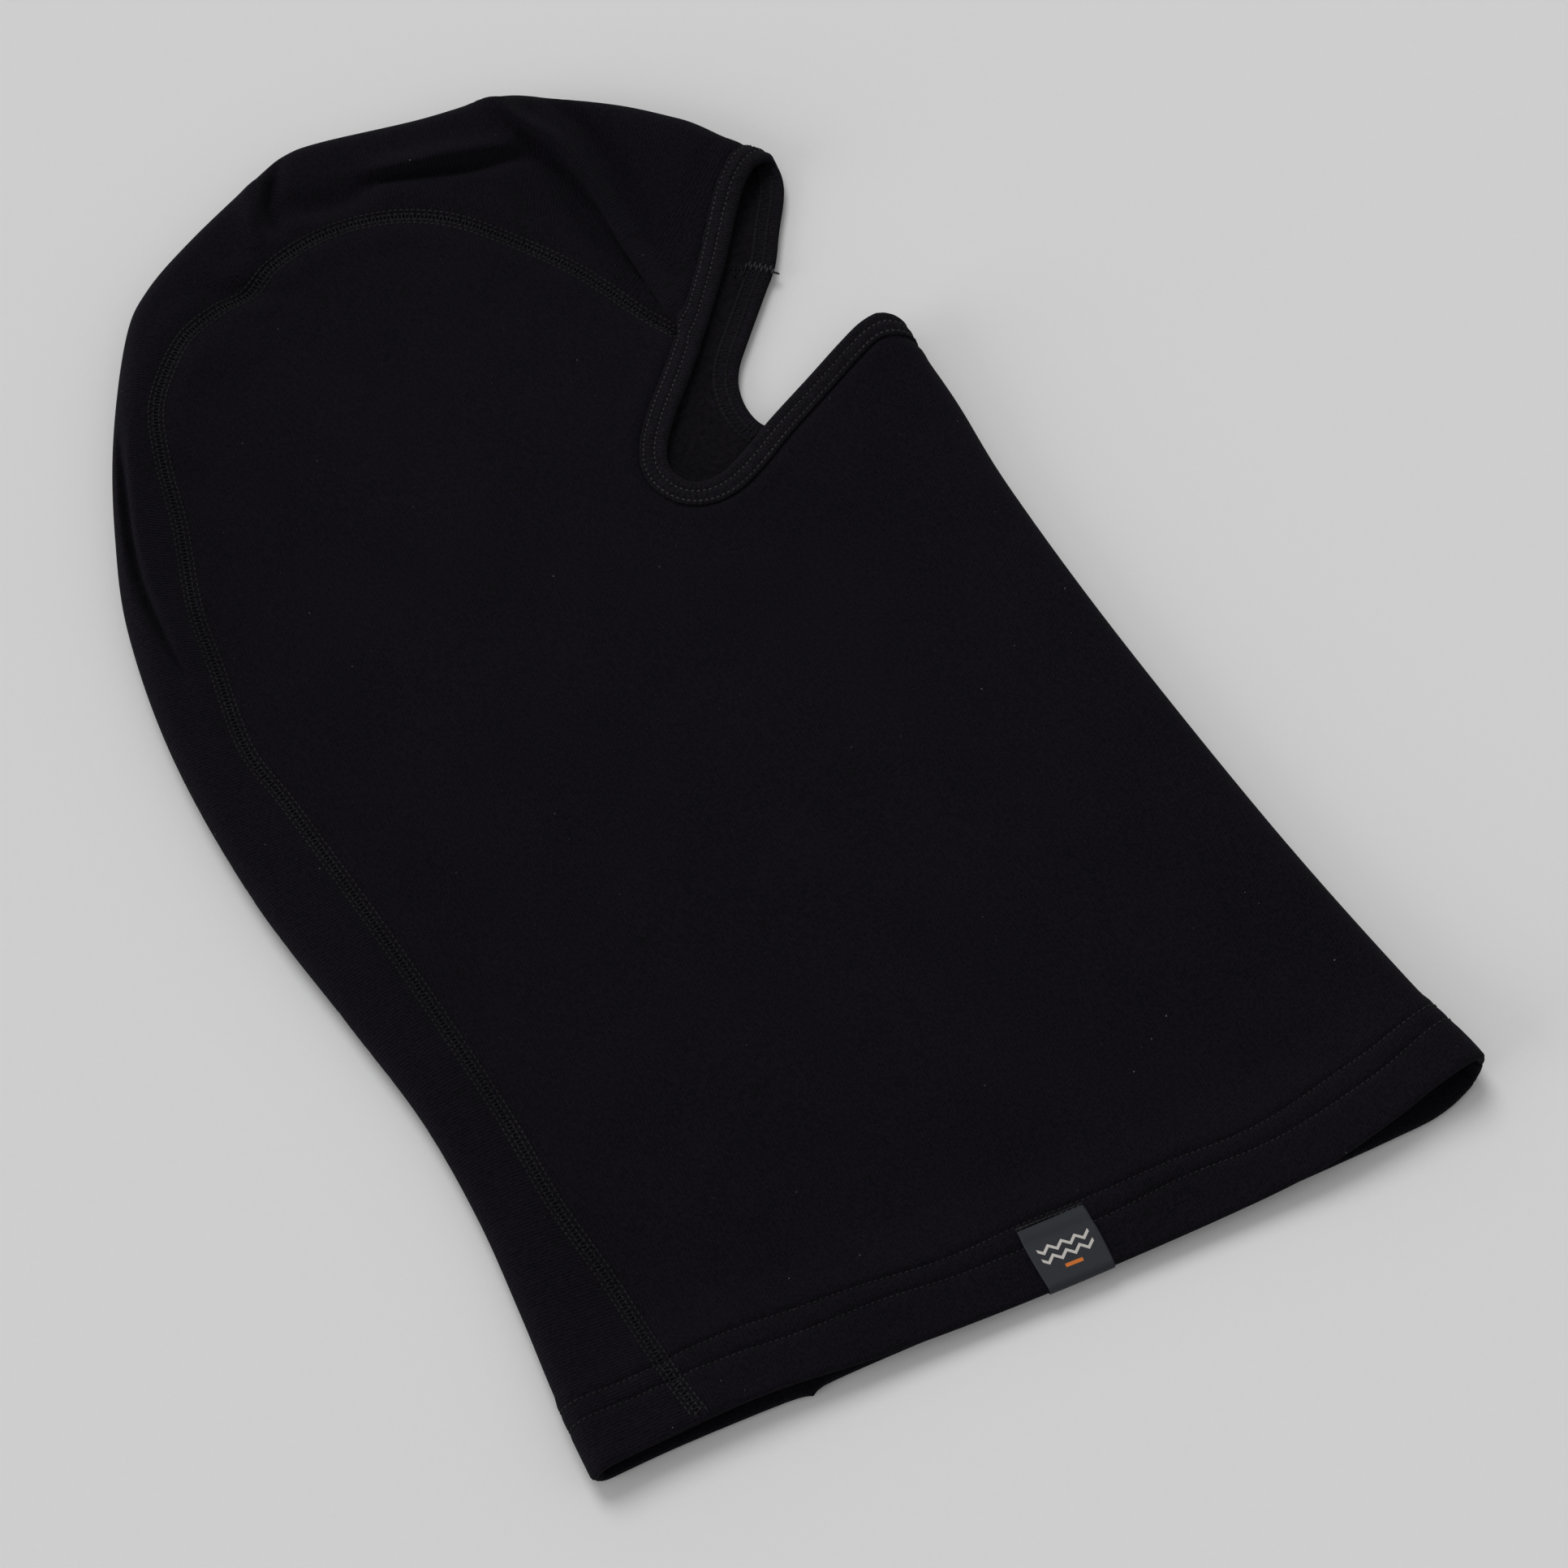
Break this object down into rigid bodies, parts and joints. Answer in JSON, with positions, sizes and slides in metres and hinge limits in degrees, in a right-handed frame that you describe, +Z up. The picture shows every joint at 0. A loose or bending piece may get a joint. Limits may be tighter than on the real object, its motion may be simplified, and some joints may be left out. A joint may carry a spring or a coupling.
{
  "type": "balaclava",
  "caption": "Close-fitting knitted balaclava lying flat and folded, with one face opening, a bound edge, flat seams, a stitched hem and a small woven label.",
  "frame": {"origin": "bottom centre of the bounding box of the garment as it lies folded on a flat surface", "axes": "+X towards the face side, +Y from the hem to the crown, +Z up out of the garment's right-hand side"},
  "size_m": [0.2867, 0.4289, 0.0128],
  "materials": {
    "brushed_jersey": "matte",
    "binding_jersey": "matte",
    "needle_thread": "satin",
    "cover_thread": "satin",
    "label_weave": "satin"
  },
  "bodies": {
    "root": {"front_panel_right_side": "brushed_jersey", "front_panel_left_side": "brushed_jersey", "front_panel_fold": "brushed_jersey", "crown_panel_right_side": "brushed_jersey", "crown_panel_left_side": "brushed_jersey", "crown_panel_fold": "brushed_jersey", "face_binding": "binding_jersey", "right_seam_needle_threads": "needle_thread", "right_seam_cover_thread": "cover_thread", "right_seam_looper_thread": "cover_thread", "left_seam_needle_threads": "needle_thread", "left_seam_cover_thread": "cover_thread", "left_seam_looper_thread": "cover_thread", "binding_outer_stitch_row": "needle_thread", "binding_inner_stitch_row": "needle_thread", "binding_looper_thread": "cover_thread", "hem_upper_stitch_row": "needle_thread", "hem_lower_stitch_row": "needle_thread", "hem_looper_thread": "cover_thread", "hem_label": "label_weave", "label_tack_stitches": "needle_thread", "binding_closing_tack": "needle_thread"}
  },
  "joints": []
}
